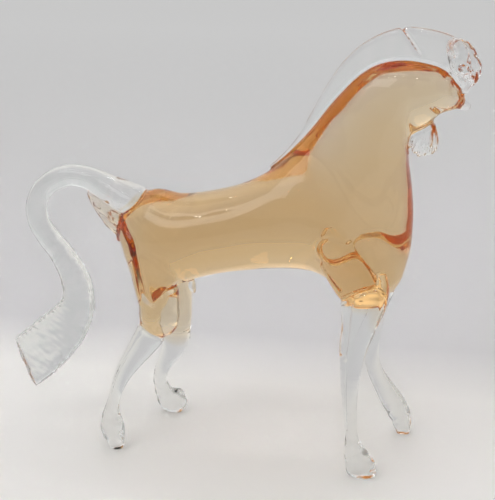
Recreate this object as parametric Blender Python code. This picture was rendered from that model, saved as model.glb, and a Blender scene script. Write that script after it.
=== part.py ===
"""Solid glass horse, hot worked from an amber gather with clear bits fused to it.

Metres, +Z up. The horse faces +X, its left side is +Y, and it stands on four hooves at z = 0.
Station tables below are in millimetres. The origin is the middle of the bounding box's floor.
"""

import bmesh
import bpy
import numpy as np
from mathutils import Vector

MM = 0.001

# Driving dimensions, in millimetres.
JOIN_GAP = 0.3        # clearance left where two glass pieces are fused
BODY_STEP = 3.6       # distance between rings along the body
LIMB_STEP = 2.8       # distance between rings along legs, mane and small bits
TAIL_STEP = 3.4
BODY_SIDES = 28
LIMB_SIDES = 14
FLOOR = 0.0

# Body sections from rump to nose: top x, z, bottom x, z, half width, narrowing towards the top.
BODY_SECTIONS = [
    (-44.6, 74.2, -43.6, 69.4, 2.8, 0.0),
    (-41.6, 79.6, -40.8, 63.2, 7.8, 0.0),
    (-37.0, 84.0, -37.4, 54.4, 11.4, 0.0),
    (-32.0, 86.4, -32.0, 50.6, 13.2, 0.0),
    (-23.0, 85.4, -23.0, 55.4, 14.0, 0.0),
    (-12.0, 87.2, -12.0, 59.4, 14.0, 0.0),
    (-2.0, 90.2, 0.0, 61.8, 14.2, 0.03),
    (5.0, 94.0, 11.0, 63.2, 14.6, 0.1),
    (11.0, 98.8, 22.0, 62.8, 15.2, 0.2),
    (16.0, 103.8, 33.6, 57.4, 15.5, 0.32),
    (20.5, 109.3, 45.8, 56.8, 15.0, 0.4),
    (25.0, 115.5, 51.4, 69.0, 13.8, 0.4),
    (29.5, 120.8, 52.3, 82.0, 12.2, 0.34),
    (35.0, 126.3, 51.5, 92.0, 10.6, 0.26),
    (41.0, 129.6, 50.2, 101.0, 9.3, 0.18),
    (47.5, 130.8, 50.0, 107.6, 8.2, 0.12),
    (54.0, 130.3, 55.2, 111.2, 7.4, 0.05),
    (59.6, 128.6, 59.6, 115.4, 6.2, 0.0),
    (63.6, 125.2, 63.4, 116.8, 4.6, 0.0),
    (66.2, 121.4, 66.2, 117.8, 2.0, 0.0),
]

# Limb stations: centre x, y, z, half depth in the XZ plane, half width across.
THIGH_RIGHT = [
    (-32.6, -5.0, 74.0, 8.0, 6.0),
    (-30.8, -6.6, 66.0, 8.2, 6.9),
    (-29.4, -7.8, 57.0, 7.4, 6.5),
    (-28.2, -9.0, 50.0, 6.7, 6.1),
    (-28.0, -10.0, 46.0, 6.6, 6.0),
    (-28.2, -10.7, 43.2, 5.8, 5.4),
    (-28.5, -11.0, 41.4, 4.2, 4.2),
    (-28.7, -11.2, 40.3, 2.0, 2.1),
    (-28.8, -11.3, 39.9, 0.8, 0.9),
]
THIGH_LEFT = [
    (-32.0, 5.0, 72.0, 7.6, 6.0),
    (-30.6, 6.0, 62.0, 7.6, 7.0),
    (-29.2, 7.0, 53.0, 7.0, 6.8),
    (-28.4, 8.6, 45.0, 6.3, 6.2),
    (-28.1, 9.8, 38.5, 5.3, 5.2),
    (-28.3, 10.6, 34.2, 4.2, 4.2),
    (-28.5, 11.1, 31.0, 2.5, 2.6),
    (-28.6, 11.3, 29.8, 0.9, 1.0),
]
SHOULDER_RIGHT = [
    (28.2, -9.4, 80.6, 1.6, 5.9),
    (28.6, -9.7, 77.5, 4.5, 6.3),
    (30.8, -10.0, 71.8, 6.6, 6.3),
    (35.0, -10.5, 64.8, 7.1, 5.9),
    (37.9, -11.0, 60.0, 6.6, 5.0),
    (38.5, -11.4, 57.0, 5.2, 4.0),
    (38.6, -11.8, 55.0, 3.0, 2.6),
    (38.6, -12.0, 54.2, 1.0, 1.0),
]
SHOULDER_TONGUE = [
    (44.2, -9.5, 66.0, 1.5, 1.5),
    (44.2, -10.8, 62.5, 2.6, 2.6),
    (43.9, -11.8, 57.5, 2.6, 2.8),
    (42.8, -12.5, 52.5, 2.0, 2.2),
    (41.9, -13.0, 49.5, 1.2, 1.3),
    (41.4, -13.2, 48.4, 0.5, 0.5),
]
BRISKET = [
    (28.5, 0.0, 67.0, 4.0, 9.0),
    (33.0, 0.0, 62.5, 7.0, 11.5),
    (38.0, 0.0, 61.0, 7.2, 12.0),
    (43.0, 0.0, 63.0, 6.0, 11.0),
    (46.5, 0.0, 67.0, 3.5, 8.0),
]
SHOULDER_LEFT = [
    (39.8, 8.2, 74.5, 1.6, 4.6),
    (39.0, 8.5, 72.3, 5.6, 5.6),
    (38.0, 9.1, 68.4, 9.0, 6.1),
    (37.4, 9.8, 63.0, 10.2, 6.0),
    (37.2, 10.5, 59.0, 9.4, 5.2),
    (37.8, 11.1, 56.2, 6.6, 4.0),
    (38.6, 11.6, 54.4, 2.4, 1.9),
]
RUMP_RIDGE = [
    (-41.0, 0.0, 78.0, 2.4, 2.4),
    (-42.0, -0.6, 73.5, 2.3, 2.2),
    (-40.2, -1.6, 66.5, 2.2, 2.2),
    (-37.6, -3.2, 59.5, 2.2, 2.2),
    (-34.6, -5.4, 52.5, 2.4, 2.4),
    (-31.5, -7.5, 47.0, 2.2, 2.2),
]
DOCK = [
    (-39.0, 0.0, 75.0, 6.5, 6.0),
    (-44.0, 0.0, 76.0, 5.0, 4.4),
    (-48.6, 0.0, 79.0, 3.2, 2.8),
    (-52.4, 0.0, 82.4, 1.6, 1.6),
    (-54.6, 0.0, 84.4, 0.7, 0.8),
]
TAIL = [
    (-29.0, 0.0, 82.4, 2.2, 3.0),
    (-32.2, 0.0, 81.4, 4.6, 5.6),
    (-36.0, 0.0, 81.0, 5.6, 6.8),
    (-40.4, 0.0, 82.3, 5.9, 6.6),
    (-45.0, 0.0, 84.6, 5.2, 5.4),
    (-50.0, 0.0, 87.3, 4.3, 4.3),
    (-55.5, 0.0, 89.3, 3.8, 3.8),
    (-61.0, 0.0, 89.6, 3.6, 3.5),
    (-66.2, 0.0, 87.8, 3.5, 3.4),
    (-70.6, 0.0, 84.2, 3.5, 3.4),
    (-72.9, 0.0, 79.2, 3.6, 3.4),
    (-72.5, 0.0, 73.6, 3.6, 3.4),
    (-69.5, 0.0, 68.2, 3.8, 3.4),
    (-65.2, 0.0, 62.9, 4.2, 3.4),
    (-61.7, 0.0, 57.2, 4.8, 3.3),
    (-59.6, 0.0, 51.0, 5.4, 3.1),
    (-59.9, 0.0, 44.2, 6.0, 2.9),
    (-63.4, 0.0, 38.0, 7.4, 2.6),
    (-69.0, 0.0, 31.8, 8.5, 2.4),
    (-75.0, 0.0, 26.0, 8.9, 2.2),
    (-80.6, 0.0, 21.2, 8.8, 2.1),
    (-87.0, 0.0, 16.6, 8.4, 2.0),
]
TAIL_SNIP_POINT = (-79.8, 0.0, 22.0)
TAIL_SNIP_OUTWARD = (-0.936, 0.0, -0.352)
FRONT_LEG_RIGHT = [
    (39.6, -11.8, 63.4, 1.5, 1.2),
    (39.6, -12.0, 62.6, 4.6, 3.6),
    (39.5, -12.1, 60.8, 6.6, 5.1),
    (39.2, -12.2, 57.5, 7.4, 5.4),
    (38.6, -12.4, 53.0, 6.6, 5.1),
    (37.8, -12.8, 48.5, 5.4, 4.7),
    (36.6, -13.4, 43.0, 4.5, 4.3),
    (35.9, -14.1, 34.5, 3.3, 3.3),
    (35.9, -14.8, 26.0, 2.55, 2.6),
    (36.4, -15.4, 18.0, 2.0, 2.1),
    (36.8, -15.7, 13.5, 2.0, 2.1),
    (37.5, -16.0, 10.0, 2.7, 2.5),
    (38.8, -16.2, 6.4, 4.1, 2.8),
    (40.2, -16.3, 3.0, 4.9, 2.8),
    (41.8, -16.4, -1.5, 3.4, 2.0),
]
FRONT_LEG_LEFT = [
    (40.4, 10.8, 61.6, 1.5, 1.2),
    (40.4, 11.0, 60.6, 4.8, 3.6),
    (40.2, 11.2, 58.4, 6.6, 5.0),
    (39.6, 11.9, 54.5, 6.5, 5.0),
    (38.8, 13.0, 47.5, 4.9, 4.5),
    (38.5, 13.7, 40.0, 3.6, 3.7),
    (38.4, 14.3, 33.0, 2.8, 2.9),
    (38.9, 15.1, 27.5, 2.5, 2.6),
    (40.3, 15.9, 22.8, 2.7, 2.7),
    (42.7, 16.9, 18.0, 3.1, 2.8),
    (45.8, 17.9, 12.4, 3.8, 3.0),
    (48.4, 18.7, 7.2, 3.6, 2.8),
    (49.6, 19.1, 3.2, 2.9, 2.2),
    (49.8, 19.2, -1.5, 1.9, 1.6),
]
HIND_LEG_RIGHT = [
    (-29.2, -10.0, 47.5, 2.6, 2.6),
    (-29.6, -10.5, 44.4, 4.5, 4.4),
    (-30.7, -11.0, 41.0, 4.9, 4.7),
    (-33.2, -11.5, 37.0, 4.4, 4.2),
    (-37.6, -12.1, 30.5, 3.4, 3.4),
    (-41.0, -12.5, 24.3, 2.6, 2.7),
    (-43.0, -12.9, 18.6, 2.05, 2.1),
    (-43.9, -13.2, 15.0, 2.2, 2.2),
    (-44.3, -13.5, 11.4, 3.2, 2.6),
    (-43.9, -13.8, 7.6, 4.1, 2.9),
    (-43.1, -14.0, 3.8, 3.3, 2.5),
    (-42.3, -14.1, -1.5, 1.6, 1.5),
]
HIND_LEG_LEFT = [
    (-28.1, 9.6, 39.0, 4.2, 4.2),
    (-28.3, 10.2, 35.5, 5.3, 5.2),
    (-28.6, 11.2, 31.0, 4.6, 4.5),
    (-30.4, 12.2, 26.4, 3.8, 3.7),
    (-33.3, 13.8, 21.2, 2.8, 2.9),
    (-35.6, 15.4, 16.2, 2.5, 2.4),
    (-36.4, 16.9, 12.0, 2.5, 2.3),
    (-35.6, 18.0, 8.2, 3.3, 2.2),
    (-33.8, 18.7, 5.5, 4.8, 2.1),
    (-31.6, 19.0, 4.0, 5.1, 2.1),
    (-29.2, 19.0, 3.3, 3.7, 1.9),
    (-27.8, 19.0, 3.0, 1.5, 1.2),
]
BEARD = [
    (52.2, 0.0, 116.5, 4.0, 2.8),
    (52.5, 0.0, 113.0, 5.0, 3.4),
    (53.5, 0.0, 109.0, 5.1, 3.0),
    (54.8, 0.0, 105.4, 4.4, 2.4),
    (55.6, 0.0, 102.6, 2.8, 1.7),
]
MUZZLE_LIP = [
    (62.8, 0.0, 119.0, 1.5, 1.9),
    (65.0, 0.0, 118.6, 2.0, 2.6),
    (67.0, 0.0, 118.0, 1.6, 2.2),
    (68.3, 0.0, 117.6, 0.8, 1.1),
]
BELLY_NUB = [
    (-19.4, 0.0, 59.6, 1.5, 1.5),
    (-19.8, 0.0, 56.4, 1.4, 1.4),
    (-19.4, 0.0, 53.6, 1.2, 1.2),
    (-18.9, 0.0, 52.0, 0.6, 0.6),
]
EAR_RIGHT = [
    (62.2, -2.0, 138.2, 1.2, 0.8),
    (63.1, -3.0, 136.2, 2.7, 1.3),
    (64.5, -4.2, 132.8, 3.3, 1.6),
    (65.9, -4.9, 129.2, 2.8, 1.6),
    (67.1, -5.0, 126.2, 1.3, 1.0),
]
EAR_LEFT = [
    (63.2, 2.0, 137.6, 1.2, 0.8),
    (64.6, 3.0, 135.2, 2.7, 1.3),
    (66.6, 4.1, 131.4, 3.2, 1.6),
    (68.2, 4.8, 127.6, 2.7, 1.6),
    (68.6, 4.9, 124.4, 1.3, 1.0),
]

# Ribbon of clear glass over the crest: outer x, z, inner x, z, half thickness.
CREST_RIBBON = [
    (6.2, 96.4, 7.4, 93.4, 0.5),
    (10.8, 100.6, 12.4, 97.2, 0.9),
    (15.4, 106.0, 17.2, 102.2, 1.2),
    (19.8, 114.4, 23.2, 109.0, 1.4),
    (24.0, 122.2, 28.6, 116.0, 1.5),
    (29.0, 129.8, 34.2, 121.8, 1.6),
    (35.4, 135.9, 40.0, 125.8, 1.6),
    (42.0, 139.6, 45.2, 127.6, 1.7),
    (48.0, 141.2, 50.4, 127.8, 1.8),
    (54.0, 140.8, 55.0, 127.2, 2.0),
    (59.6, 139.6, 58.8, 125.8, 2.2),
    (64.4, 137.6, 61.6, 123.8, 2.4),
    (67.8, 134.2, 63.2, 122.0, 2.4),
    (69.8, 130.4, 64.2, 120.8, 2.3),
    (69.8, 126.6, 64.9, 120.2, 2.0),
    (68.0, 123.4, 65.6, 120.4, 1.2),
]
MANE_SNIP_POINT = (46.8, 0.0, 141.0)
MANE_SNIP_OUTWARD = (0.819, 0.0, 0.574)

# Mouth: a wedge-shaped groove cut into each cheek, which leaves the middle of the head whole.
MOUTH_OUTLINE = [(55.6, 118.8), (59.6, 115.0), (66.0, 117.2)]
MOUTH_GROOVE = (3.4, 9.0)

AMBER_LIMBS = {
    "thigh_right": THIGH_RIGHT,
    "thigh_left": THIGH_LEFT,
    "shoulder_right": SHOULDER_RIGHT,
    "shoulder_tongue": SHOULDER_TONGUE,
    "shoulder_left": SHOULDER_LEFT,
    "brisket": BRISKET,
    "rump_ridge": RUMP_RIDGE,
    "dock": DOCK,
}

AMBER = (0.86, 0.50, 0.16, 1.0)
CLEAR = (0.93, 0.95, 0.95, 1.0)


def clear_scene():
    for obj in list(bpy.data.objects):
        bpy.data.objects.remove(obj, do_unlink=True)


def glass(name, color, roughness):
    material = bpy.data.materials.new(name)
    material.use_nodes = True
    shader = material.node_tree.nodes["Principled BSDF"]
    shader.inputs["Base Color"].default_value = color
    shader.inputs["Roughness"].default_value = roughness
    shader.inputs["Metallic"].default_value = 0.0
    shader.inputs["IOR"].default_value = 1.5
    shader.inputs["Transmission Weight"].default_value = 1.0
    material.diffuse_color = color
    return material


def smooth_rows(rows, positions, step):
    """Rows read from a smooth curve through the given ones, about step apart along the given columns."""
    rows = np.array(rows, float)
    spans = np.linalg.norm(np.diff(rows[:, positions], axis=0), axis=1)
    chord = np.concatenate([[0.0], np.cumsum(spans)])
    slopes = np.gradient(rows, chord, axis=0)
    count = max(4, round(chord[-1] / step) + 1)
    out = []
    for at in np.linspace(0.0, chord[-1], count):
        i = min(np.searchsorted(chord, at, side="right") - 1, len(spans) - 1)
        t = (at - chord[i]) / spans[i]
        value = (2 * t**3 - 3 * t**2 + 1) * rows[i]
        value = value + (3 * t**2 - 2 * t**3) * rows[i + 1]
        value = value + (t**3 - 2 * t**2 + t) * spans[i] * slopes[i]
        value = value + (t**3 - t**2) * spans[i] * slopes[i + 1]
        out.append(value)
    return np.array(out)


def oval(centre, up, across, sides, taper=0.0):
    """A ring of points: an ellipse that its taper narrows towards the top, like an egg."""
    angles = np.linspace(0.0, 2 * np.pi, sides, endpoint=False)[:, None]
    width = 1.0 - taper * (1.0 + np.cos(angles)) / 2
    return centre + np.cos(angles) * up + np.sin(angles) * width * across


def band(centre, up, across, sides):
    """A ring of points: a flat band whose two edges are as round as it is thick."""
    angles = np.linspace(0.0, 2 * np.pi, sides, endpoint=False)[:, None]
    edge = np.linalg.norm(across) / np.linalg.norm(up)
    flat = np.clip(3 * np.cos(angles), -1.0, 1.0)
    return centre + (flat * (1 - edge) + np.cos(angles) * edge) * up + np.sin(angles) * across


def section_rings(rows, step, sides, grow=0.0, outline=oval):
    """Rings that each span from a top point to a bottom point of an outline in the XZ plane."""
    rings = []
    for row in smooth_rows(rows, [0, 1, 2, 3], step):
        top = np.array([row[0], 0.0, row[1]])
        bottom = np.array([row[2], 0.0, row[3]])
        half = (top - bottom) / 2
        half = half * (1 + grow / np.linalg.norm(half))
        across = np.array([0.0, row[4] + grow, 0.0])
        rings.append(outline((top + bottom) / 2, half, across, sides, *row[5:]))
    return end_grown(rings, grow)


def limb_rings(rows, step, sides, grow=0.0):
    """Rings square to a path, with one half size in the XZ plane and one across it."""
    rows = smooth_rows(rows, [0, 1, 2], step)
    along = np.gradient(rows[:, :3], axis=0)
    along /= np.linalg.norm(along, axis=1)[:, None]
    rings = []
    for row, tangent in zip(rows, along):
        up = np.cross(tangent, [0.0, 1.0, 0.0])
        up /= np.linalg.norm(up)
        across = np.cross(up, tangent)
        rings.append(oval(row[:3], up * (row[3] + grow), across * (row[4] + grow), sides))
    return end_grown(rings, grow)


def end_grown(rings, grow):
    """The rings with the two end ones moved outwards along the piece by grow."""
    for end, inner in ((0, 1), (-1, -2)):
        outward = rings[end].mean(axis=0) - rings[inner].mean(axis=0)
        rings[end] = rings[end] + grow * outward / np.linalg.norm(outward)
    return rings


def solid_from_rings(name, rings):
    """One closed mesh object: rings bridged in order, each end closed by one face."""
    mesh = bmesh.new()
    loops = []
    for ring in rings:
        loops.append([mesh.verts.new(Vector(point * MM)) for point in ring])
    for first, second in zip(loops, loops[1:]):
        for i, corner in enumerate(first):
            j = (i + 1) % len(first)
            mesh.faces.new((corner, first[j], second[j], second[i]))
    mesh.faces.new(list(reversed(loops[0])))
    mesh.faces.new(loops[-1])
    bmesh.ops.recalc_face_normals(mesh, faces=mesh.faces)
    bmesh.ops.triangulate(mesh, faces=[f for f in mesh.faces if len(f.verts) > 4])
    data = bpy.data.meshes.new(name)
    mesh.to_mesh(data)
    mesh.free()
    obj = bpy.data.objects.new(name, data)
    bpy.context.scene.collection.objects.link(obj)
    return obj


def helper(obj):
    obj.hide_render = True
    obj.display_type = "WIRE"
    return obj


def boolean(obj, other, operation):
    modifier = obj.modifiers.new(f"{operation.lower()} {other.name}", "BOOLEAN")
    modifier.object = other
    modifier.operation = operation
    modifier.solver = "EXACT"


def trim(obj, point, outward):
    """Removes what lies beyond a plane through point, and closes the cut with a flat face."""
    mesh = bmesh.new()
    mesh.from_mesh(obj.data)
    cut = bmesh.ops.bisect_plane(
        mesh,
        geom=list(mesh.verts) + list(mesh.edges) + list(mesh.faces),
        plane_co=Vector(point) * MM,
        plane_no=outward,
        clear_outer=True,
    )
    edges = [item for item in cut["geom_cut"] if isinstance(item, bmesh.types.BMEdge)]
    bmesh.ops.edgeloop_fill(mesh, edges=edges)
    bmesh.ops.recalc_face_normals(mesh, faces=mesh.faces)
    mesh.to_mesh(obj.data)
    mesh.free()


def finish(obj, material):
    obj.data.materials.append(material)
    obj.data.shade_smooth()
    obj.data.set_sharp_from_angle(angle=np.radians(50))


def limb(name, rows, step=LIMB_STEP, grow=0.0):
    return solid_from_rings(name, limb_rings(rows, step, LIMB_SIDES, grow))


def amber_gather(name, grow=0.0):
    """Trunk, neck and head as one loft, joined with the thighs, shoulders, brisket, rump ridge and dock."""
    suffix = "_clearance" if grow else "_form"
    body = solid_from_rings(name, section_rings(BODY_SECTIONS, BODY_STEP, BODY_SIDES, grow))
    for part, rows in AMBER_LIMBS.items():
        boolean(body, helper(limb(part + suffix, rows, grow=grow)), "UNION")
    return body


def mouth_wedge(side):
    """The form that cuts the mouth's groove into one cheek: side is -1 on the right, 1 on the left."""
    rings = [np.array([[x, side * y, z] for x, z in MOUTH_OUTLINE]) for y in MOUTH_GROOVE]
    return helper(solid_from_rings("mouth_form", rings))


def crest_ribbon(name, grow=0.0):
    return solid_from_rings(name, section_rings(CREST_RIBBON, LIMB_STEP, LIMB_SIDES, grow, band))


def leg(name, rows):
    piece = limb(name, rows)
    trim(piece, (0.0, 0.0, FLOOR), (0.0, 0.0, -1.0))
    return piece


def place_origin(pieces):
    """Moves every piece along X and Y, so that the origin is the middle of the whole footprint."""
    bpy.context.view_layer.update()
    graph = bpy.context.evaluated_depsgraph_get()
    corners = []
    for piece in pieces:
        mesh = piece.evaluated_get(graph).to_mesh()
        corners += [vertex.co.copy() for vertex in mesh.vertices]
        piece.evaluated_get(graph).to_mesh_clear()
    points = np.array(corners)
    middle = (points.min(axis=0) + points.max(axis=0)) / 2
    for obj in bpy.data.objects:
        obj.location.x -= middle[0]
        obj.location.y -= middle[1]


def build():
    clear_scene()
    amber = glass("amber_glass", AMBER, 0.02)
    clear = glass("clear_glass", CLEAR, 0.02)
    pressed = glass("pressed_clear_glass", CLEAR, 0.12)

    body = amber_gather("body")
    for side in (-1, 1):
        boolean(body, mouth_wedge(side), "DIFFERENCE")
    finish(body, amber)
    body_space = helper(amber_gather("body_clearance", JOIN_GAP))
    ribbon_space = helper(crest_ribbon("ribbon_clearance", JOIN_GAP))

    snip = np.array(MANE_SNIP_POINT)
    outward = np.array(MANE_SNIP_OUTWARD)
    mane = crest_ribbon("mane")
    trim(mane, snip - outward * JOIN_GAP / 2, outward)
    forelock = crest_ribbon("forelock")
    trim(forelock, snip + outward * JOIN_GAP / 2, -outward)
    tail = limb("tail", TAIL, TAIL_STEP)
    trim(tail, TAIL_SNIP_POINT, TAIL_SNIP_OUTWARD)
    ears = [limb("ear_right", EAR_RIGHT), limb("ear_left", EAR_LEFT)]
    for ear in ears:
        boolean(ear, ribbon_space, "DIFFERENCE")
    legs = [
        leg("front_leg_right", FRONT_LEG_RIGHT),
        leg("front_leg_left", FRONT_LEG_LEFT),
        leg("hind_leg_right", HIND_LEG_RIGHT),
        leg("hind_leg_left", HIND_LEG_LEFT),
    ]
    beard = limb("beard", BEARD)
    small = [limb("muzzle_lip", MUZZLE_LIP), limb("belly_nub", BELLY_NUB)]

    smooth_clear = [mane, forelock] + legs + small
    pressed_clear = [tail, beard] + ears
    for piece in smooth_clear + pressed_clear:
        boolean(piece, body_space, "DIFFERENCE")
        finish(piece, clear if piece in smooth_clear else pressed)
    place_origin([body] + smooth_clear + pressed_clear)


build()
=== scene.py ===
import math

import bmesh
import bpy
import numpy as np
from mathutils import Matrix, Vector, noise
from mathutils.bvhtree import BVHTree


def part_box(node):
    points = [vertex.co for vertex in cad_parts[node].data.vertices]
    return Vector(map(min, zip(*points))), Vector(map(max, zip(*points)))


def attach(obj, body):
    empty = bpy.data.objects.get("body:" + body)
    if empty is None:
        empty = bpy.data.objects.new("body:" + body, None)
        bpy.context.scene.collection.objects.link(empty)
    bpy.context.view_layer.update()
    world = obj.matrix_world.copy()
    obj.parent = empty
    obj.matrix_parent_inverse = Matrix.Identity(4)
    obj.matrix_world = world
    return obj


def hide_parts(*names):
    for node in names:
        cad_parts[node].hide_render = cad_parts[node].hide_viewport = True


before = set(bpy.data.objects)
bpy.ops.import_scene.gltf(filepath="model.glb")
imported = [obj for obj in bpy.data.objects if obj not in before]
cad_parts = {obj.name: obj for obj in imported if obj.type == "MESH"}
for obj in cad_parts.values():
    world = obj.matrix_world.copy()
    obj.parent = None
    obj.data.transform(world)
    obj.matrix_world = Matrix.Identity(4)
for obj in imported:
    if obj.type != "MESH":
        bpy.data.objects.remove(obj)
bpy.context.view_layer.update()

# The looks of a solid glass horse. Shapes are modelled in millimetres in the construction frame of the
# CAD source: X towards the head, Z up from the floor, Y = 0 in the horse's plane of symmetry. They are
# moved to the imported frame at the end. All the glass is first one smooth skin, then it is divided into
# the amber body and the clear pieces fused to it, with a hairline seam that light crosses freely.

MM = 0.001
FORM_STEP = 0.9          # distance between the rings of a loft
BODY_SIDES = 112
LIMB_SIDES = 48
VOXEL = 0.45             # grain of the skin
SMOOTHING_PASSES = 7
SMOOTHING_STEPS = (0.5, -0.52)
BAND_CORNERS = 3.0       # how soon the outline of a flat band turns from its sides to its edges
SEAM_INSIDE = 0.15       # the body ends this far outside the amber form
SEAM_OUTSIDE = 0.18      # the clear pieces begin this far outside it
SMALLEST_PIECE = 1.0     # cubic millimetres; less is a shaving left by a cut
FLOOR = 0.0

# Trunk, neck and head: top x, z, bottom x, z, half width, and how much narrower the top is.
BODY_SECTIONS = [
    (-44.6, 74.2, -43.6, 69.4, 2.8, 0.0),
    (-41.6, 79.6, -40.8, 63.2, 7.8, 0.0),
    (-37.0, 84.0, -37.4, 54.4, 11.4, 0.0),
    (-32.0, 86.4, -32.0, 50.6, 13.2, 0.0),
    (-23.0, 85.4, -23.0, 55.4, 14.0, 0.0),
    (-12.0, 87.2, -12.0, 59.4, 14.0, 0.0),
    (-2.0, 90.2, 0.0, 61.8, 14.2, 0.03),
    (5.0, 94.0, 11.0, 63.2, 14.6, 0.1),
    (11.0, 98.8, 22.0, 62.8, 15.2, 0.2),
    (16.0, 103.8, 33.6, 57.4, 15.5, 0.32),
    (20.5, 109.3, 45.8, 56.8, 15.0, 0.4),
    (25.0, 115.5, 51.4, 69.0, 13.8, 0.4),
    (29.5, 120.8, 52.3, 82.0, 12.2, 0.34),
    (35.0, 126.3, 51.5, 92.0, 10.6, 0.26),
    (41.0, 129.6, 50.2, 101.0, 9.3, 0.18),
    (47.5, 130.8, 50.0, 107.6, 8.2, 0.12),
    (54.0, 130.3, 55.2, 111.2, 7.4, 0.05),
    (59.6, 128.6, 59.6, 115.4, 6.2, 0.0),
    (63.6, 125.2, 63.4, 116.8, 4.6, 0.0),
    (66.2, 121.4, 66.2, 117.8, 2.0, 0.0),
]

# Limb and lobe stations: centre x, y, z, half size in the XZ plane, half width across.
THIGH_RIGHT = [
    (-32.6, -5.0, 74.0, 8.0, 6.0),
    (-30.8, -6.6, 66.0, 8.2, 6.9),
    (-29.4, -7.8, 57.0, 7.4, 6.5),
    (-28.2, -9.0, 50.0, 6.7, 6.1),
    (-28.0, -10.0, 46.0, 6.6, 6.0),
    (-28.2, -10.7, 43.2, 5.8, 5.4),
    (-28.5, -11.0, 41.4, 4.2, 4.2),
    (-28.7, -11.2, 40.3, 2.0, 2.1),
    (-28.8, -11.3, 39.9, 0.8, 0.9),
]
THIGH_LEFT = [
    (-32.0, 5.0, 72.0, 7.6, 6.0),
    (-30.6, 6.0, 62.0, 7.6, 7.0),
    (-29.2, 7.0, 53.0, 7.0, 6.8),
    (-28.4, 8.6, 45.0, 6.3, 6.2),
    (-28.1, 9.8, 38.5, 5.3, 5.2),
    (-28.3, 10.6, 34.2, 4.2, 4.2),
    (-28.5, 11.1, 31.0, 2.5, 2.6),
    (-28.6, 11.3, 29.8, 0.9, 1.0),
]
SHOULDER_RIGHT = [
    (28.2, -9.4, 80.6, 1.6, 5.9),
    (28.6, -9.7, 77.5, 4.5, 6.3),
    (30.8, -10.0, 71.8, 6.6, 6.3),
    (35.0, -10.5, 64.8, 7.1, 5.9),
    (37.9, -11.0, 60.0, 6.6, 5.0),
    (38.5, -11.4, 57.0, 5.2, 4.0),
    (38.6, -11.8, 55.0, 3.0, 2.6),
    (38.6, -12.0, 54.2, 1.0, 1.0),
]
SHOULDER_TONGUE = [
    (44.2, -9.5, 66.0, 1.5, 1.5),
    (44.2, -10.8, 62.5, 2.6, 2.6),
    (43.9, -11.8, 57.5, 2.6, 2.8),
    (42.8, -12.5, 52.5, 2.0, 2.2),
    (41.9, -13.0, 49.5, 1.2, 1.3),
    (41.4, -13.2, 48.4, 0.5, 0.5),
]
BRISKET = [
    (28.5, 0.0, 67.0, 4.0, 9.0),
    (33.0, 0.0, 62.5, 7.0, 11.5),
    (38.0, 0.0, 61.0, 7.2, 12.0),
    (43.0, 0.0, 63.0, 6.0, 11.0),
    (46.5, 0.0, 67.0, 3.5, 8.0),
]
SHOULDER_LEFT = [
    (39.8, 8.2, 74.5, 1.6, 4.6),
    (39.0, 8.5, 72.3, 5.6, 5.6),
    (38.0, 9.1, 68.4, 9.0, 6.1),
    (37.4, 9.8, 63.0, 10.2, 6.0),
    (37.2, 10.5, 59.0, 9.4, 5.2),
    (37.8, 11.1, 56.2, 6.6, 4.0),
    (38.6, 11.6, 54.4, 2.4, 1.9),
]
RUMP_RIDGE = [
    (-41.0, 0.0, 78.0, 2.4, 2.4),
    (-42.0, -0.6, 73.5, 2.3, 2.2),
    (-40.2, -1.6, 66.5, 2.2, 2.2),
    (-37.6, -3.2, 59.5, 2.2, 2.2),
    (-34.6, -5.4, 52.5, 2.4, 2.4),
    (-31.5, -7.5, 47.0, 2.2, 2.2),
]
DOCK = [
    (-39.0, 0.0, 75.0, 6.5, 6.0),
    (-44.0, 0.0, 76.0, 5.0, 4.4),
    (-48.6, 0.0, 79.0, 3.2, 2.8),
    (-52.4, 0.0, 82.4, 1.6, 1.6),
    (-54.6, 0.0, 84.4, 0.7, 0.8),
]
TAIL = [
    (-29.0, 0.0, 82.4, 2.2, 3.0),
    (-32.2, 0.0, 81.4, 4.6, 5.6),
    (-36.0, 0.0, 81.0, 5.6, 6.8),
    (-40.4, 0.0, 82.3, 5.9, 6.6),
    (-45.0, 0.0, 84.6, 5.2, 5.4),
    (-50.0, 0.0, 87.3, 4.3, 4.3),
    (-55.5, 0.0, 89.3, 3.8, 3.8),
    (-61.0, 0.0, 89.6, 3.6, 3.5),
    (-66.2, 0.0, 87.8, 3.5, 3.4),
    (-70.6, 0.0, 84.2, 3.5, 3.4),
    (-72.9, 0.0, 79.2, 3.6, 3.4),
    (-72.5, 0.0, 73.6, 3.6, 3.4),
    (-69.5, 0.0, 68.2, 3.8, 3.4),
    (-65.2, 0.0, 62.9, 4.2, 3.4),
    (-61.7, 0.0, 57.2, 4.8, 3.3),
    (-59.6, 0.0, 51.0, 5.4, 3.1),
    (-59.9, 0.0, 44.2, 6.0, 2.9),
    (-63.4, 0.0, 38.0, 7.4, 2.6),
    (-69.0, 0.0, 31.8, 8.5, 2.4),
    (-75.0, 0.0, 26.0, 8.9, 2.2),
    (-80.6, 0.0, 21.2, 8.8, 2.1),
    (-87.0, 0.0, 16.6, 8.4, 2.0),
]
TAIL_SNIP_POINT = (-79.8, 0.0, 22.0)
TAIL_SNIP_OUTWARD = (-0.936, 0.0, -0.352)
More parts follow.
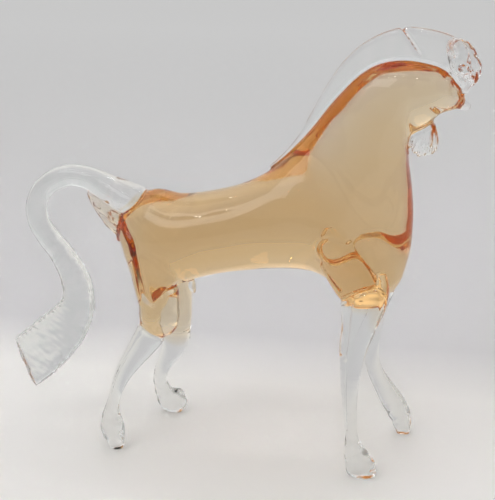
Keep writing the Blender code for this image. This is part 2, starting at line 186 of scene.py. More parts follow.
FRONT_LEG_RIGHT = [
    (39.6, -11.8, 63.4, 1.5, 1.2),
    (39.6, -12.0, 62.6, 4.6, 3.6),
    (39.5, -12.1, 60.8, 6.6, 5.1),
    (39.2, -12.2, 57.5, 7.4, 5.4),
    (38.6, -12.4, 53.0, 6.6, 5.1),
    (37.8, -12.8, 48.5, 5.4, 4.7),
    (36.6, -13.4, 43.0, 4.5, 4.3),
    (35.9, -14.1, 34.5, 3.3, 3.3),
    (35.9, -14.8, 26.0, 2.55, 2.6),
    (36.4, -15.4, 18.0, 2.0, 2.1),
    (36.8, -15.7, 13.5, 2.0, 2.1),
    (37.5, -16.0, 10.0, 2.7, 2.5),
    (38.8, -16.2, 6.4, 4.1, 2.8),
    (40.2, -16.3, 3.0, 4.9, 2.8),
    (41.8, -16.4, -1.5, 3.4, 2.0),
]
FRONT_LEG_LEFT = [
    (40.4, 10.8, 61.6, 1.5, 1.2),
    (40.4, 11.0, 60.6, 4.8, 3.6),
    (40.2, 11.2, 58.4, 6.6, 5.0),
    (39.6, 11.9, 54.5, 6.5, 5.0),
    (38.8, 13.0, 47.5, 4.9, 4.5),
    (38.5, 13.7, 40.0, 3.6, 3.7),
    (38.4, 14.3, 33.0, 2.8, 2.9),
    (38.9, 15.1, 27.5, 2.5, 2.6),
    (40.3, 15.9, 22.8, 2.7, 2.7),
    (42.7, 16.9, 18.0, 3.1, 2.8),
    (45.8, 17.9, 12.4, 3.8, 3.0),
    (48.4, 18.7, 7.2, 3.6, 2.8),
    (49.6, 19.1, 3.2, 2.9, 2.2),
    (49.8, 19.2, -1.5, 1.9, 1.6),
]
HIND_LEG_RIGHT = [
    (-29.2, -10.0, 47.5, 2.6, 2.6),
    (-29.6, -10.5, 44.4, 4.5, 4.4),
    (-30.7, -11.0, 41.0, 4.9, 4.7),
    (-33.2, -11.5, 37.0, 4.4, 4.2),
    (-37.6, -12.1, 30.5, 3.4, 3.4),
    (-41.0, -12.5, 24.3, 2.6, 2.7),
    (-43.0, -12.9, 18.6, 2.05, 2.1),
    (-43.9, -13.2, 15.0, 2.2, 2.2),
    (-44.3, -13.5, 11.4, 3.2, 2.6),
    (-43.9, -13.8, 7.6, 4.1, 2.9),
    (-43.1, -14.0, 3.8, 3.3, 2.5),
    (-42.3, -14.1, -1.5, 1.6, 1.5),
]
HIND_LEG_LEFT = [
    (-28.1, 9.6, 39.0, 4.2, 4.2),
    (-28.3, 10.2, 35.5, 5.3, 5.2),
    (-28.6, 11.2, 31.0, 4.6, 4.5),
    (-30.4, 12.2, 26.4, 3.8, 3.7),
    (-33.3, 13.8, 21.2, 2.8, 2.9),
    (-35.6, 15.4, 16.2, 2.5, 2.4),
    (-36.4, 16.9, 12.0, 2.5, 2.3),
    (-35.6, 18.0, 8.2, 3.3, 2.2),
    (-33.8, 18.7, 5.5, 4.8, 2.1),
    (-31.6, 19.0, 4.0, 5.1, 2.1),
    (-29.2, 19.0, 3.3, 3.7, 1.9),
    (-27.8, 19.0, 3.0, 1.5, 1.2),
]
BEARD = [
    (52.2, 0.0, 116.5, 4.0, 2.8),
    (52.5, 0.0, 113.0, 5.0, 3.4),
    (53.5, 0.0, 109.0, 5.1, 3.0),
    (54.8, 0.0, 105.4, 4.4, 2.4),
    (55.6, 0.0, 102.6, 2.8, 1.7),
]
MUZZLE_LIP = [
    (62.8, 0.0, 119.0, 1.5, 1.9),
    (65.0, 0.0, 118.6, 2.0, 2.6),
    (67.0, 0.0, 118.0, 1.6, 2.2),
    (68.3, 0.0, 117.6, 0.8, 1.1),
]
BELLY_NUB = [
    (-19.4, 0.0, 59.6, 1.5, 1.5),
    (-19.8, 0.0, 56.4, 1.4, 1.4),
    (-19.4, 0.0, 53.6, 1.2, 1.2),
    (-18.9, 0.0, 52.0, 0.6, 0.6),
]
EAR_RIGHT = [
    (62.2, -2.0, 138.2, 1.2, 0.8),
    (63.1, -3.0, 136.2, 2.7, 1.3),
    (64.5, -4.2, 132.8, 3.3, 1.6),
    (65.9, -4.9, 129.2, 2.8, 1.6),
    (67.1, -5.0, 126.2, 1.3, 1.0),
]
EAR_LEFT = [
    (63.2, 2.0, 137.6, 1.2, 0.8),
    (64.6, 3.0, 135.2, 2.7, 1.3),
    (66.6, 4.1, 131.4, 3.2, 1.6),
    (68.2, 4.8, 127.6, 2.7, 1.6),
    (68.6, 4.9, 124.4, 1.3, 1.0),
]

# Flat band of clear glass over the crest: outer x, z, inner x, z, half thickness.
CREST_RIBBON = [
    (6.2, 96.4, 7.4, 93.4, 0.5),
    (10.8, 100.6, 12.4, 97.2, 0.9),
    (15.4, 106.0, 17.2, 102.2, 1.2),
    (19.8, 114.4, 23.2, 109.0, 1.4),
    (24.0, 122.2, 28.6, 116.0, 1.5),
    (29.0, 129.8, 34.2, 121.8, 1.6),
    (35.4, 135.9, 40.0, 125.8, 1.6),
    (42.0, 139.6, 45.2, 127.6, 1.7),
    (48.0, 141.2, 50.4, 127.8, 1.8),
    (54.0, 140.8, 55.0, 127.2, 2.0),
    (59.6, 139.6, 58.8, 125.8, 2.2),
    (64.4, 137.6, 61.6, 123.8, 2.4),
    (67.8, 134.2, 63.2, 122.0, 2.4),
    (69.8, 130.4, 64.2, 120.8, 2.3),
    (69.8, 126.6, 64.9, 120.2, 2.0),
    (68.0, 123.4, 65.6, 120.4, 1.2),
]
MANE_SNIP_POINT = (46.8, 0.0, 141.0)
MANE_SNIP_OUTWARD = (0.819, 0.0, 0.574)

# Mouth: a wedge-shaped groove cut into each cheek, which leaves the middle of the head whole.
MOUTH_OUTLINE = [(55.6, 118.8), (59.6, 115.0), (66.0, 117.2)]
MOUTH_GROOVE = (3.4, 9.0)
EAR_CLAIM = 0.5          # the ears take the crest's glass this far outside their own forms
EAR_GAP = 0.03           # what is left between an ear and the crest
SNIP_GAP = 0.015         # from the snip to the end of the mane, and to that of the forelock
SNIP_BLOCK = 80.0        # large enough to cover either of them


# ---------------------------------------------------------------- forms, in millimetres

def smooth_rows(rows, positions, step):
    """Rows read from a smooth curve through the given ones, about step apart along the given columns."""
    rows = np.array(rows, float)
    spans = np.linalg.norm(np.diff(rows[:, positions], axis=0), axis=1)
    chord = np.concatenate([[0.0], np.cumsum(spans)])
    slopes = np.gradient(rows, chord, axis=0)
    count = max(4, round(chord[-1] / step) + 1)
    out = []
    for at in np.linspace(0.0, chord[-1], count):
        i = min(np.searchsorted(chord, at, side="right") - 1, len(spans) - 1)
        t = (at - chord[i]) / spans[i]
        value = (2 * t**3 - 3 * t**2 + 1) * rows[i]
        value = value + (3 * t**2 - 2 * t**3) * rows[i + 1]
        value = value + (t**3 - 2 * t**2 + t) * spans[i] * slopes[i]
        value = value + (t**3 - t**2) * spans[i] * slopes[i + 1]
        out.append(value)
    return np.array(out)


def oval(centre, up, across, sides, taper=0.0):
    """An oval that its taper narrows towards the top, as the wide end of an egg to the sharp one."""
    angles = np.linspace(0.0, 2 * np.pi, sides, endpoint=False)[:, None]
    width = 1.0 - taper * (1.0 + np.cos(angles)) / 2
    return centre + np.cos(angles) * up + np.sin(angles) * width * across


def band(centre, up, across, sides):
    """The outline of a flat band whose two edges are as round as it is thick."""
    angles = np.linspace(0.0, 2 * np.pi, sides, endpoint=False)[:, None]
    edge = np.linalg.norm(across) / np.linalg.norm(up)
    flat = np.clip(BAND_CORNERS * np.cos(angles), -1.0, 1.0)
    return centre + (flat * (1 - edge) + np.cos(angles) * edge) * up + np.sin(angles) * across


def section_rings(rows, sides, grow=0.0, outline=oval):
    """Rings that each span from a top point to a bottom point of an outline in the XZ plane."""
    rings = []
    for row in smooth_rows(rows, [0, 1, 2, 3], FORM_STEP):
        top = np.array([row[0], 0.0, row[1]])
        bottom = np.array([row[2], 0.0, row[3]])
        half = (top - bottom) / 2
        half = half * (1 + grow / np.linalg.norm(half))
        across = np.array([0.0, row[4] + grow, 0.0])
        rings.append(outline((top + bottom) / 2, half, across, sides, *row[5:]))
    return rings


def limb_rings(rows, grow=0.0):
    """Rings square to a path, with one half size in the XZ plane and one across it."""
    rows = smooth_rows(rows, [0, 1, 2], FORM_STEP)
    along = np.gradient(rows[:, :3], axis=0)
    along /= np.linalg.norm(along, axis=1)[:, None]
    rings = []
    for row, tangent in zip(rows, along):
        up = np.cross(tangent, [0.0, 1.0, 0.0])
        up /= np.linalg.norm(up)
        across = np.cross(up, tangent)
        rings.append(oval(row[:3], up * (row[3] + grow), across * (row[4] + grow), LIMB_SIDES))
    return rings


def linked(name, data):
    """A new object in the scene that holds data."""
    obj = bpy.data.objects.new(name, data)
    bpy.context.scene.collection.objects.link(obj)
    return obj


def mesh_object(name, points, faces):
    data = bpy.data.meshes.new(name)
    data.from_pydata([tuple(point) for point in points], [], faces)
    return linked(name, data)


def object_of(name, mesh):
    """A new object that takes over a bmesh."""
    data = bpy.data.meshes.new(name)
    mesh.to_mesh(data)
    mesh.free()
    return linked(name, data)


def loft(name, rings):
    """One closed form: rings bridged in order, each end closed by one face."""
    sides = len(rings[0])
    faces = []
    for i in range(len(rings) - 1):
        for j in range(sides):
            k = (j + 1) % sides
            low, high = i * sides, (i + 1) * sides
            faces.append((low + j, low + k, high + k, high + j))
    faces.append(tuple(range(sides)))
    faces.append(tuple(range((len(rings) - 1) * sides, len(rings) * sides)))
    obj = mesh_object(name, np.concatenate(rings), faces)
    mesh = bmesh.new()
    mesh.from_mesh(obj.data)
    bmesh.ops.recalc_face_normals(mesh, faces=mesh.faces)
    mesh.to_mesh(obj.data)
    mesh.free()
    return obj


def trimmed(obj, point, outward):
    """The form without what lies beyond a plane through point, closed by a flat face."""
    mesh = bmesh.new()
    mesh.from_mesh(obj.data)
    cut = bmesh.ops.bisect_plane(
        mesh,
        geom=list(mesh.verts) + list(mesh.edges) + list(mesh.faces),
        plane_co=Vector(point),
        plane_no=outward,
        clear_outer=True,
    )
    edges = [item for item in cut["geom_cut"] if isinstance(item, bmesh.types.BMEdge)]
    bmesh.ops.edgeloop_fill(mesh, edges=edges)
    bmesh.ops.recalc_face_normals(mesh, faces=mesh.faces)
    mesh.to_mesh(obj.data)
    mesh.free()
    return obj


def evaluated(obj, name):
    """A new object with obj's shape as its modifiers leave it."""
    graph = bpy.context.evaluated_depsgraph_get()
    data = bpy.data.meshes.new_from_object(obj.evaluated_get(graph), depsgraph=graph)
    data.name = name
    return linked(name, data)


def boolean(name, obj, other, operation):
    """A new object: obj united with, cut by or limited to other, whose material the cut takes."""
    modifier = obj.modifiers.new("boolean", "BOOLEAN")
    modifier.object = other
    modifier.operation = operation
    modifier.solver = "MANIFOLD"
    modifier.material_mode = "TRANSFER"
    made = evaluated(obj, name)
    obj.modifiers.remove(modifier)
    return made


def discard(*objects):
    for obj in objects:
        bpy.data.objects.remove(obj)


def amber_forms():
    """The trunk with neck, head and the mouth's grooves, then every lobe drawn out of the gather."""
    trunk = loft("trunk", section_rings(BODY_SECTIONS, BODY_SIDES))
    for side in (-1, 1):
        rings = [np.array([[x, side * y, z] for x, z in MOUTH_OUTLINE]) for y in MOUTH_GROOVE]
        wedge = loft("wedge", rings)
        cut = boolean("trunk", trunk, wedge, "DIFFERENCE")
        discard(trunk, wedge)
        trunk = cut
    lobes = (
        THIGH_RIGHT, THIGH_LEFT,
        SHOULDER_RIGHT, SHOULDER_TONGUE, SHOULDER_LEFT, BRISKET,
        RUMP_RIDGE, DOCK,
    )
    return [trunk] + [loft("limb", limb_rings(rows)) for rows in lobes]


def clear_forms():
    """The legs cut off at the floor, the small bits, the snipped tail and the band over the crest."""
    legs = (FRONT_LEG_RIGHT, FRONT_LEG_LEFT, HIND_LEG_RIGHT, HIND_LEG_LEFT)
    forms = [trimmed(loft("leg", limb_rings(rows)), (0, 0, FLOOR), (0, 0, -1)) for rows in legs]
    small = (BEARD, MUZZLE_LIP, BELLY_NUB, EAR_RIGHT, EAR_LEFT)
    forms += [loft("bit", limb_rings(rows)) for rows in small]
    forms.append(trimmed(loft("tail", limb_rings(TAIL)), TAIL_SNIP_POINT, TAIL_SNIP_OUTWARD))
    forms.append(loft("crest", section_rings(CREST_RIBBON, LIMB_SIDES, outline=band)))
    return forms


# ---------------------------------------------------------------- the skin

def read_points(data):
    points = np.zeros(len(data.vertices) * 3)
    data.vertices.foreach_get("co", points)
    return points.reshape(-1, 3)


def write_points(data, points):
    data.vertices.foreach_set("co", points.ravel())
    data.update()


def read_normals(data):
    normals = np.zeros(len(data.vertices) * 3)
    data.vertex_normals.foreach_get("vector", normals)
    return normals.reshape(-1, 3)


def relaxed(data, passes):
    """Points smoothed in pairs of steps, one inwards and one outwards, so that nothing shrinks."""
    points = read_points(data)
    edges = np.zeros(len(data.edges) * 2, np.int32)
    data.edges.foreach_get("vertices", edges)
    first, second = edges.reshape(-1, 2).T
    neighbours = np.bincount(first, minlength=len(points))
    neighbours = neighbours + np.bincount(second, minlength=len(points))
    for step in SMOOTHING_STEPS * passes:
        for axis in range(3):
            value = points[:, axis]
            total = np.bincount(first, value[second], len(points))
            total += np.bincount(second, value[first], len(points))
            points[:, axis] = value + step * (total / neighbours - value)
    return points


def skin(name, forms):
    """One smooth closed skin around all the forms."""
    points, faces, first = [], [], 0
    for form in forms:
        points.append(read_points(form.data))
        faces += [tuple(first + i for i in polygon.vertices) for polygon in form.data.polygons]
        first += len(form.data.vertices)
    rough = mesh_object(name + "_rough", np.concatenate(points), faces)
    modifier = rough.modifiers.new("voxels", "REMESH")
    modifier.mode = "VOXEL"
    modifier.voxel_size = VOXEL
    modifier.adaptivity = 0.0
    made = evaluated(rough, name)
    discard(rough)
    write_points(made.data, relaxed(made.data, SMOOTHING_PASSES))
    return made


def noise_at(points, size, seed):
    """Smooth noise from -1 to 1 whose waves are about size long, a different one for each seed."""
    offset = Vector((seed * 17.3, seed * 5.1, seed * 9.7))
    return np.array([noise.noise(Vector(point) / size + offset) for point in points])


def near_path(points, rows):
    """For each point: how far along the path it lies, how high off it in the XZ plane, and the gap."""
    path = smooth_rows(rows, [0, 1, 2], PATH_STEP)[:, :3]
    tangent = np.gradient(path, axis=0)
    tangent /= np.linalg.norm(tangent, axis=1)[:, None]
    run = np.concatenate([[0.0], np.cumsum(np.linalg.norm(np.diff(path, axis=0), axis=1))])
    gaps = np.linalg.norm(points[:, None, :] - path[None, :, :], axis=2)
    nearest = gaps.argmin(axis=1)
    offset = points - path[nearest]
    along = run[nearest] + np.einsum("ij,ij->i", offset, tangent[nearest])
    up = np.cross(tangent[nearest], [0.0, 1.0, 0.0])
    return along, np.einsum("ij,ij->i", offset, up), gaps.min(axis=1)


def near_path_zone(points, rows, reach):
    """near_path for the points within reach of the path's box; the others get an endless gap."""
    centres = np.array(rows)[:, :3]
    low, high = centres.min(axis=0) - reach, centres.max(axis=0) + reach
    inside = ((points > low) & (points < high)).all(axis=1)
    results = [np.zeros(len(points)), np.zeros(len(points)), np.full(len(points), np.inf)]
    for result, value in zip(results, near_path(points[inside], rows)):
        result[inside] = value
    return results


def ramp(value, start, end):
    """0 before start, 1 after end, smooth in between."""
    t = np.clip((value - start) / (end - start), 0.0, 1.0)
    return t * t * (3 - 2 * t)


# ---------------------------------------------------------------- marks on the skin, in millimetres

WAVE_SIZE = 11.0
WAVE_HEIGHT = 0.16
PATH_STEP = 0.8

# Creases drawn on the right side, x and z.
FLANK_CREASE = [
    (-39.7, 76.4), (-36.2, 72.6), (-34.2, 64.5), (-32.7, 57.9), (-30.8, 53.4),
    (-28.8, 52.4), (-26.6, 54.6), (-24.5, 56.6), (-22.1, 57.1),
]
SHOULDER_CREASE = [
    (32.0, 61.9), (28.4, 65.8), (25.6, 69.2), (23.6, 73.1), (24.8, 76.4), (28.6, 78.4), (33.7, 77.0),
]
LEG_CREASE = [(36.3, 59.8), (35.7, 54.0), (35.3, 46.2), (34.6, 39.8)]
EAR_CREASE = [(60.6, 139.2), (60.9, 135.5), (61.9, 132.7), (64.1, 128.7), (67.1, 126.3)]
CREASES = (              # path, width, depth
    (FLANK_CREASE, 1.1, 1.0),
    (SHOULDER_CREASE, 0.6, 0.8),
    (LEG_CREASE, 0.5, 0.6),
    (EAR_CREASE, 0.5, 0.7),
)
CREASED_SIDE = -3.0      # a crease marks only what lies further to the right than this
CREASE_STEP = 0.5
CREASE_REACH = 3.0

# The tail's flattened end.
TAIL_ZONE_X = -52.0
TAIL_ZONE_Z = 72.0
PADDLE_START = 58.0      # along the tail
PADDLE_FULL = 74.0
RIPPLE_PITCH = 2.3
RIPPLE_HEIGHT = 0.12
RIPPLE_LEAN = 0.25
RIPPLE_WANDER = 1.3
WANDER_SIZE = 7.0
PATCH_BASE = 0.6         # the marks are deeper in some patches than in others
PATCH_CHANGE = 0.7
PATCH_SIZE = 5.0
RIBS = 0.5               # how much of the marks is straight ribs, and how much is crumpled
CRUMPLE = 2.4
CRUMPLE_SIZE = 2.4

# The tuft under the chin.
BEARD_REACH = 5.5
FLUTE_PITCH = 1.5
FLUTE_HEIGHT = 0.28
FLUTE_LEAN = 0.6
FLUTE_WANDER = 0.5
FLUTE_WANDER_SIZE = 3.0
FLUTE_TOP = 112.0
FLUTE_FULL = 104.5

# The outer faces of the ears, and the folds around the poll.
EAR_REACH = 4.5
EAR_FACE = (2.6, 4.6)
CRINKLE_SIZE = 1.7
CRINKLE_HEIGHT = 0.22
POLL = (64.6, 0.0, 126.0)
POLL_REACH = 9.0
POLL_FULL = 4.5
POLL_HEIGHT = 0.9
POLL_SIZE = 2.6

# The hooves, with their soles left flat.
HOOF_FULL = 7.0
HOOF_TOP = 15.0
HOOF_SIZE = 2.6
HOOF_HEIGHT = 0.42
SOLE_CLEAR = 1.2

# The dock: folds long in one direction, clear of the tail itself.
DOCK_REACH = 7.0
DOCK_FRONT = (-44.0, -40.0)
DOCK_DIRECTION = (-0.8, 0.0, 0.6)
DOCK_STRETCH = 0.65
TAIL_CLEAR = (4.6, 6.0)
DOCK_FOLD_SIZE = 1.8
DOCK_FOLD_HEIGHT = 1.1

# The groove along the seam of the amber, and the crease at the snip of the mane.
GROOVE_AT = 0.75
GROOVE_WIDTH = 0.45
GROOVE_DEPTH = 0.45
GROOVE_REACH = 3 * GROOVE_WIDTH
SNIP_WIDTH = 0.5
SNIP_DEPTH = 0.8
SNIP_LOW = 131.0
SNIP_HIGH = 135.0


def gap_to_line(points, path):
    """How far each point of the right side lies from a line drawn on that side, seen from the side."""
    line = smooth_rows(path, [0, 1], CREASE_STEP)
    gap = np.full(len(points), np.inf)
    flat = points[:, (0, 2)]
    low, high = line.min(axis=0) - CREASE_REACH, line.max(axis=0) + CREASE_REACH
    near = ((flat > low) & (flat < high)).all(axis=1) & (points[:, 1] < CREASED_SIDE)
    gap[near] = np.linalg.norm(flat[near][:, None, :] - line[None, :, :], axis=2).min(axis=1)
    return gap


def hot_worked(obj):
    """Leaves on a skin the slow waves of hot glass, the folds of the dock and the drawn creases."""
    points = read_points(obj.data)
    height = WAVE_HEIGHT * noise_at(points, WAVE_SIZE, seed=1) + dock_creases(points)
    for path, width, depth in CREASES:
        height -= depth * np.exp(-(gap_to_line(points, path) / width) ** 2)
    write_points(obj.data, points + height[:, None] * read_normals(obj.data))


def tail_ripples(points):
    """The marks of the ribbed tool, across the flattened end of the tail."""
    chosen = (points[:, 0] < TAIL_ZONE_X) & (points[:, 2] < TAIL_ZONE_Z)
    height = np.zeros(len(points))
    place = points[chosen]
    along, side, _ = near_path(place, TAIL)
    wander = RIPPLE_WANDER * noise_at(place, WANDER_SIZE, seed=2)
    phase = 2 * np.pi * (along + RIPPLE_LEAN * side + wander) / RIPPLE_PITCH
    patches = PATCH_BASE + PATCH_CHANGE * noise_at(place, PATCH_SIZE, seed=3)
    strength = ramp(along, PADDLE_START, PADDLE_FULL) * patches
    crinkle = noise_at(place, CRUMPLE_SIZE, seed=11)
    height[chosen] = RIPPLE_HEIGHT * strength * (RIBS * np.sin(phase) + CRUMPLE * crinkle)
    return height


def beard_flutes(points):
    """Grooves that run down the tuft under the chin, deepest at its snipped end."""
    _, _, gap = near_path_zone(points, BEARD, BEARD_REACH)
    height = np.zeros(len(points))
    chosen = gap < BEARD_REACH
    place = points[chosen]
    wander = FLUTE_WANDER * noise_at(place, FLUTE_WANDER_SIZE, seed=4)
    phase = 2 * np.pi * (place[:, 0] + FLUTE_LEAN * place[:, 1] + wander) / FLUTE_PITCH
    depth = ramp(-place[:, 2], -FLUTE_TOP, -FLUTE_FULL)
    height[chosen] = FLUTE_HEIGHT * depth * np.sin(phase)
    return height


def ear_crinkles(points):
    """The crinkled outer face that the tongs left on each ear."""
    height = np.zeros(len(points))
    for rows, seed in ((EAR_RIGHT, 5), (EAR_LEFT, 6)):
        _, _, gap = near_path_zone(points, rows, EAR_REACH)
        chosen = gap < EAR_REACH
        place = points[chosen]
        outside = ramp(abs(place[:, 1]), *EAR_FACE)
        height[chosen] += CRINKLE_HEIGHT * outside * noise_at(place, CRINKLE_SIZE, seed)
    return height


def hoof_crinkles(points):
    """Pinch marks low on the legs."""
    low = 1.0 - ramp(points[:, 2], HOOF_FULL, HOOF_TOP)
    chosen = (low > 0.0) & (points[:, 0] > TAIL_ZONE_X)
    height = np.zeros(len(points))
    place = points[chosen]
    above_sole = ramp(place[:, 2], FLOOR, SOLE_CLEAR)
    height[chosen] = HOOF_HEIGHT * low[chosen] * noise_at(place, HOOF_SIZE, seed=8) * above_sole
    return height


def poll_creases(points):
    """Folds where the forelock was wrapped down over the face."""
    gap = np.linalg.norm(points - np.array(POLL), axis=1)
    height = np.zeros(len(points))
    chosen = gap < POLL_REACH
    strength = 1.0 - ramp(gap[chosen], POLL_FULL, POLL_REACH)
    height[chosen] = POLL_HEIGHT * strength * noise_at(points[chosen], POLL_SIZE, seed=10)
    return height


def seam_groove(points, gather):
    """A narrow groove in the clear glass all along its seam with the amber."""
    faces = [polygon.vertices for polygon in gather.data.polygons]
    tree = BVHTree.FromPolygons(read_points(gather.data).tolist(), faces)
    height = np.zeros(len(points))
    for i, point in enumerate(points):
        gap = tree.find_nearest(point, GROOVE_REACH)[3]
        if gap is not None:
            height[i] = -GROOVE_DEPTH * math.exp(-((gap - GROOVE_AT) / GROOVE_WIDTH) ** 2)
    return height


def dock_creases(points):
    """Long folds left in the amber where it was drawn out under the tail, none on the tail itself."""
    _, _, gap = near_path_zone(points, DOCK, DOCK_REACH)
    height = np.zeros(len(points))
    chosen = gap < DOCK_REACH
    place = points[chosen]
    _, _, tail_gap = near_path(place, TAIL)
    strength = (1.0 - ramp(place[:, 0], *DOCK_FRONT)) * ramp(tail_gap, *TAIL_CLEAR)
    along = np.array(DOCK_DIRECTION)
    drawn_out = place - DOCK_STRETCH * (place @ along)[:, None] * along
    height[chosen] = DOCK_FOLD_HEIGHT * strength * noise_at(drawn_out, DOCK_FOLD_SIZE, seed=9)
    return height


def snip_groove(points):
    """The crease where the mane was snipped off and the forelock laid on."""
    offset = (points - np.array(MANE_SNIP_POINT)) @ np.array(MANE_SNIP_OUTWARD)
    line = np.exp(-(offset / SNIP_WIDTH) ** 2)
    return -SNIP_DEPTH * line * ramp(points[:, 2], SNIP_LOW, SNIP_HIGH)


def detailed(obj, gather):
    """Leaves on the whole skin the marks that only the clear glass has, with nothing under the floor."""
    points = read_points(obj.data)
    normals = read_normals(obj.data)
    height = tail_ripples(points) + beard_flutes(points) + ear_crinkles(points) + snip_groove(points)
    height += hoof_crinkles(points) + poll_creases(points) + seam_groove(points, gather)
    points = points + height[:, None] * normals
    points[:, 2] = np.maximum(points[:, 2], FLOOR)
    write_points(obj.data, points)


# ---------------------------------------------------------------- cutting the skin

def offset_copy(name, obj, distance):
    """A closed skin parallel to obj's, for cutting."""
    made = obj.copy()
    made.data = obj.data.copy()
    made.name = name
    bpy.context.scene.collection.objects.link(made)
    write_points(made.data, read_points(made.data) + distance * read_normals(made.data))
    made.data.materials.clear()
    made.data.materials.append(cut_mark)
    return made


def volume(obj):
    """The space inside a closed mesh, in cubic millimetres."""
    mesh = bmesh.new()
    mesh.from_mesh(obj.data)
    value = mesh.calc_volume()
    mesh.free()
    return value


def loose_pieces(obj):
    """The separate pieces that an object falls into, without the shavings."""
    bpy.ops.object.select_all(action="DESELECT")
    obj.select_set(True)
    bpy.context.view_layer.objects.active = obj
    bpy.ops.mesh.separate(type="LOOSE")
    found = []
    for piece in list(bpy.context.selected_objects):
        if abs(volume(piece)) > SMALLEST_PIECE:
            found.append(piece)
        else:
            discard(piece)
    return found


# ---------------------------------------------------------------- materials

def new_material(name):
    material = bpy.data.materials.new(name)
    material.use_nodes = True
    material.node_tree.nodes.clear()
    return material, material.node_tree.nodes, material.node_tree.links


def noise_node(nodes, links, coordinates, size, stretch=(1.0, 1.0, 1.0), detail=2.0):
    """Noise whose grain is about size metres, drawn out along an axis whose stretch is above 1."""
    mapping = nodes.new("ShaderNodeMapping")
    mapping.inputs["Scale"].default_value = [1 / (size * along) for along in stretch]
    texture = nodes.new("ShaderNodeTexNoise")
    texture.inputs["Scale"].default_value = 1.0
    texture.inputs["Detail"].default_value = detail
    links.new(coordinates, mapping.inputs["Vector"])
    links.new(mapping.outputs["Vector"], texture.inputs["Vector"])
    return texture.outputs["Fac"]


def ramp_node(nodes, links, value, stops):
    """A colour ramp with (position, colour) stops."""
    node = nodes.new("ShaderNodeValToRGB")
    elements = node.color_ramp.elements
    while len(elements) < len(stops):
        elements.new(0.5)
    for element, (position, color) in zip(elements, stops):
        element.position = position
        element.color = (*color, 1.0)
    links.new(value, node.inputs["Fac"])
    return node.outputs["Color"]


def range_node(nodes, links, value, before, after):
    """The value moved from one range to another, and kept within it."""
    node = nodes.new("ShaderNodeMapRange")
    node.inputs["From Min"].default_value, node.inputs["From Max"].default_value = before
    node.inputs["To Min"].default_value, node.inputs["To Max"].default_value = after
    links.new(value, node.inputs["Value"])
    return node.outputs["Result"]


def bump_node(nodes, links, height, distance, strength, under=None):
    node = nodes.new("ShaderNodeBump")
    node.inputs["Strength"].default_value = strength
    node.inputs["Distance"].default_value = distance
    links.new(height, node.inputs["Height"])
    if under is not None:
        links.new(under, node.inputs["Normal"])
    return node.outputs["Normal"]


def absorption(nodes, color, density):
    node = nodes.new("ShaderNodeVolumeAbsorption")
    node.inputs["Color"].default_value = (*color, 1.0)
    node.inputs["Density"].default_value = density
    return node.outputs["Volume"]


GLASS_IOR = 1.5
SEAM = "seam"            # 1 on the faces where two glasses are fused, which light crosses unbent
AMBER_ABSORPTION = (0.91, 0.64, 0.14)
AMBER_DENSITY = 50.0
PRESSED_HEIGHTS = (0.066, 0.05)   # metres over the floor; below the second the glass is fully pressed
SLOW_RIPPLE = 0.006      # metres
FINE_RIPPLE = 0.0014
SLOW_BUMP = (0.0004, 0.12)        # metres, strength
FINE_BUMP = (0.00005, 0.1)


def glass_material(name, stops, cord_size, stretch, roughest, color=None, density=0.0, pressed=0.0):
    """Fire-polished glass: faint drawn-out cords of tint, a slow ripple, and a finer one over it.
    Its roughness varies up to roughest, and by pressed more where the tail is flattened."""
    material, nodes, links = new_material(name)
    place = nodes.new("ShaderNodeTexCoord").outputs["Object"]
    cords = noise_node(nodes, links, place, cord_size, stretch, 3.0)
    ripple = noise_node(nodes, links, place, SLOW_RIPPLE, stretch, 1.0)
    fine = noise_node(nodes, links, place, FINE_RIPPLE, detail=2.0)
    shader = nodes.new("ShaderNodeBsdfPrincipled")
    shader.inputs["Transmission Weight"].default_value = 1.0
    shader.inputs["IOR"].default_value = GLASS_IOR
    links.new(ramp_node(nodes, links, cords, stops), shader.inputs["Base Color"])
    rough = range_node(nodes, links, fine, (0.35, 0.75), (0.0, roughest))
    if pressed:
        split = nodes.new("ShaderNodeSeparateXYZ")
        links.new(place, split.inputs["Vector"])
        total = nodes.new("ShaderNodeMath")
        links.new(rough, total.inputs[0])
        added = range_node(nodes, links, split.outputs["Z"], PRESSED_HEIGHTS, (0.0, pressed))
        links.new(added, total.inputs[1])
        rough = total.outputs["Value"]
    links.new(rough, shader.inputs["Roughness"])
    seam = nodes.new("ShaderNodeAttribute")
    seam.attribute_name = SEAM
    solid = range_node(nodes, links, seam.outputs["Fac"], (0.0, 1.0), (1.0, 0.0))
    links.new(solid, shader.inputs["Alpha"])
    slow = bump_node(nodes, links, ripple, *SLOW_BUMP)
    links.new(bump_node(nodes, links, fine, *FINE_BUMP, slow), shader.inputs["Normal"])
    output = nodes.new("ShaderNodeOutputMaterial")
    links.new(shader.outputs["BSDF"], output.inputs["Surface"])
    if density:
        links.new(absorption(nodes, color, density), output.inputs["Volume"])
    return material


amber = glass_material(
    "amber_glass",
    [(0.3, (1.0, 0.985, 0.95)), (0.62, (1.0, 1.0, 1.0))],
    cord_size=0.004,
    stretch=(6.0, 1.0, 1.0),
    roughest=0.03,
    color=AMBER_ABSORPTION,
    density=AMBER_DENSITY,
)
clear = glass_material(
    "clear_glass",
    [(0.3, (0.97, 0.985, 0.98)), (0.62, (1.0, 1.0, 1.0))],
    cord_size=0.003,
    stretch=(1.0, 1.0, 5.0),
    roughest=0.02,
)
pressed_clear = glass_material(
    "pressed_clear_glass",
    [(0.3, (0.93, 0.96, 0.95)), (0.62, (1.0, 1.0, 1.0))],
    cord_size=0.003,
    stretch=(1.0, 1.0, 1.0),
    roughest=0.03,
    pressed=0.16,
)
cut_mark = bpy.data.materials.new("cut_mark")      # tells the faces that a cut leaves from the skin
MATERIALS = {"amber_glass": amber, "clear_glass": clear, "pressed_clear_glass": pressed_clear}


# ---------------------------------------------------------------- the pieces

